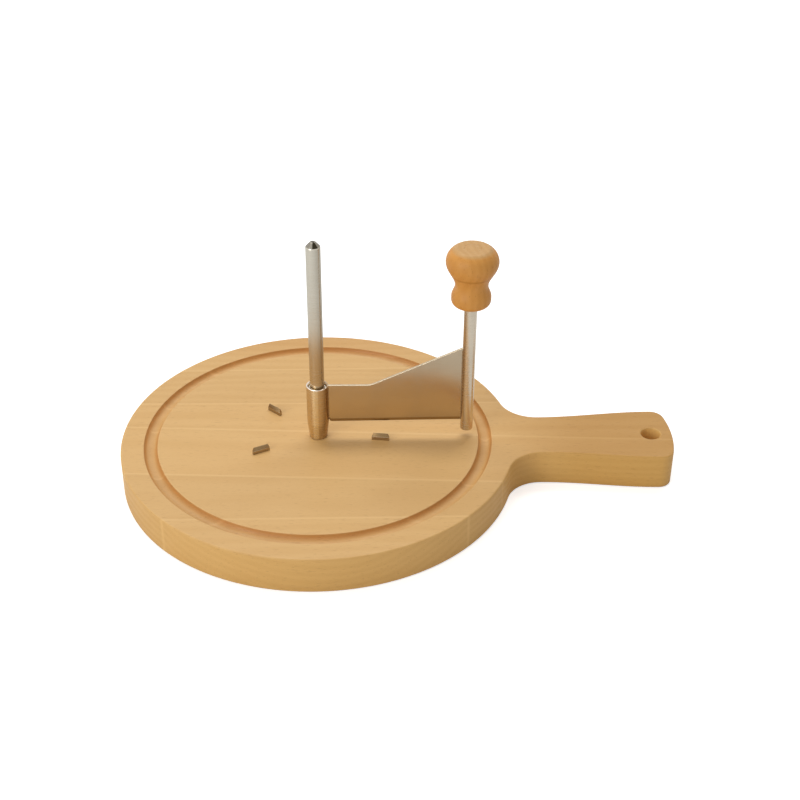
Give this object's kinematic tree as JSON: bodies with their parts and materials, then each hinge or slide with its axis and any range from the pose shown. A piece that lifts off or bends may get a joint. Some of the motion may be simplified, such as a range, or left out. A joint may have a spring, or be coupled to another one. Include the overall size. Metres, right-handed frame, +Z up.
{
  "type": "cheese curler",
  "caption": "Round wooden board with a handle and juice groove, an upright steel spindle, and a lift-off scraper blade turned by a wooden knob.",
  "frame": {"origin": "on the table plane, at the middle of the board's outline; the spindle axis stands 44.75 mm from it towards -X", "axes": "+X along the handle towards its tip, +Z up along the spindle"},
  "size_m": [0.3096, 0.22, 0.1417],
  "materials": {
    "board_wood": "satin oiled beech",
    "knob_wood": "satin lacquered beech",
    "spindle_steel": "satin stainless rod",
    "hub_steel": "polished stainless tube",
    "blade_steel": "fine brushed stainless sheet",
    "post_steel": "satin stainless rod",
    "tooth_steel": "dull stainless sheet",
    "fixing_steel": "plain stainless",
    "bush_brass": "turned brass"
  },
  "bodies": {
    "base": {"board": "board_wood", "spindle": "spindle_steel", "spindle_washer": "fixing_steel", "spindle_screw": "fixing_steel", "grip_tooth_back": "tooth_steel", "grip_tooth_front": "tooth_steel", "grip_tooth_handle": "tooth_steel"},
    "guide": {"hub_bush": "hub_steel"},
    "scraper": {"hub_sleeve": "hub_steel", "blade": "blade_steel", "crank_post": "post_steel", "knob_washer": "fixing_steel", "knob_screw": "fixing_steel"},
    "knob": {"knob": "knob_wood", "knob_bush": "bush_brass", "knob_plug": "knob_wood"}
  },
  "joints": [
    {"name": "spindle_lift", "type": "slide", "parent": "base", "child": "guide", "axis": [0, 0, 1], "range_m": [0, 0.125]},
    {"name": "crank_turn", "type": "hinge", "parent": "guide", "child": "scraper", "pos_m": [-0.04475, 0, 0.021], "axis": [0, 0, 1], "continuous": true},
    {"name": "knob_spin", "type": "hinge", "parent": "scraper", "child": "knob", "pos_m": [0.03825, 0, 0.1044], "axis": [0, 0, 1], "continuous": true}
  ]
}
